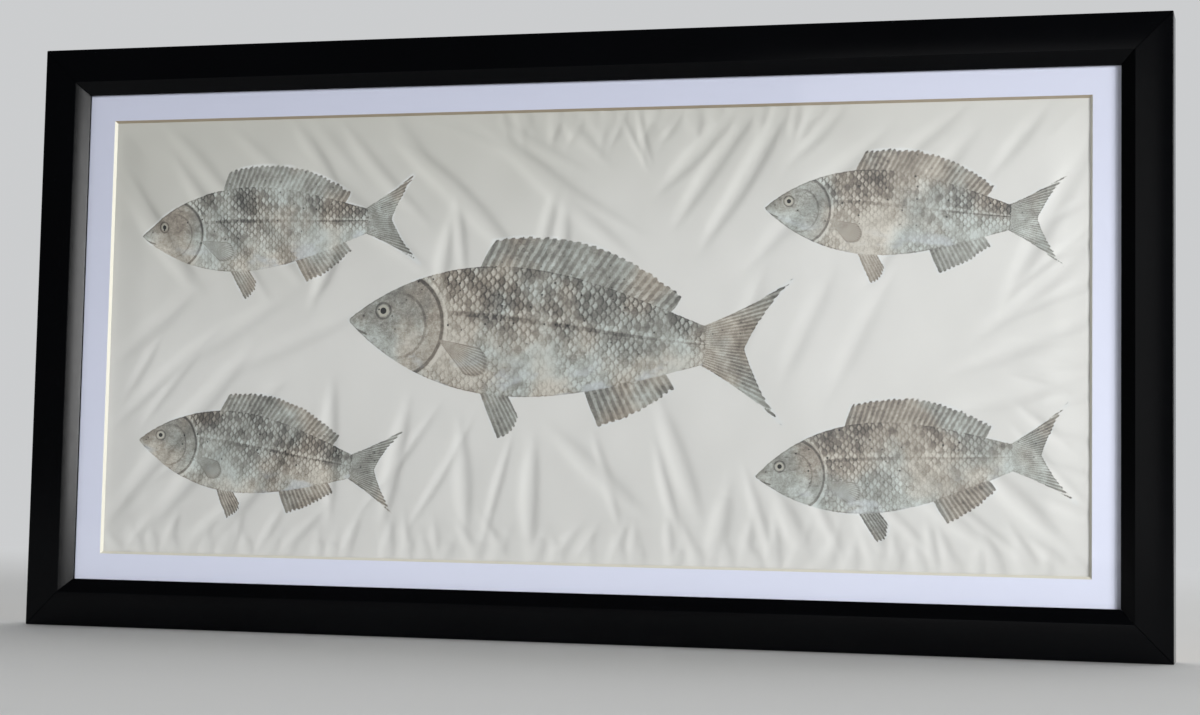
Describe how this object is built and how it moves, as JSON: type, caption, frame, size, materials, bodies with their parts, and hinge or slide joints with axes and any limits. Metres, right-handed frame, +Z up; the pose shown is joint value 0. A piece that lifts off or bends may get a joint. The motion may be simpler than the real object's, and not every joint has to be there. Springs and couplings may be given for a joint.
{
  "type": "framed fish print",
  "caption": "Wide framed print: black bevelled wooden moulding, clear glazing, white window mat and a creased sheet printed with a shoal of fish, on a hanging cleat.",
  "frame": {"origin": "middle of the top rail's back face, on the plane of the wall that the frame hangs against", "axes": "+X to the viewer's right along the long side, +Y into the wall, +Z up; the picture faces -Y"},
  "size_m": [1.4, 0.05, 0.726],
  "materials": {
    "black_wood": "satin black paint",
    "glazing": "clear sheet",
    "mat_board": "smooth white board, cream at the cut",
    "print_paper": "ivory mulberry paper, softly creased",
    "print_ink": "warm grey ink rubbed on paper",
    "board": "plain board",
    "pine": "bare planed pine",
    "kraft": "brown kraft paper",
    "steel": "zinc-plated"
  },
  "bodies": {
    "root": {"rail_top": "black_wood", "rail_right": "black_wood", "rail_bottom": "black_wood", "rail_left": "black_wood", "glazing": "glazing", "mat": "mat_board", "print_sheet": "print_paper", "print_fish_1": "print_ink", "print_fish_2": "print_ink", "print_fish_3": "print_ink", "print_fish_4": "print_ink", "print_fish_5": "print_ink", "mount_board": "board", "backing_board": "board", "strainer_top": "pine", "strainer_bottom": "pine", "strainer_left": "pine", "strainer_right": "pine", "dust_cover": "kraft", "hanging_cleat": "pine", "cleat_screw_1": "steel", "cleat_screw_2": "steel", "cleat_screw_3": "steel", "cleat_screw_4": "steel", "cleat_screw_5": "steel"}
  },
  "joints": []
}
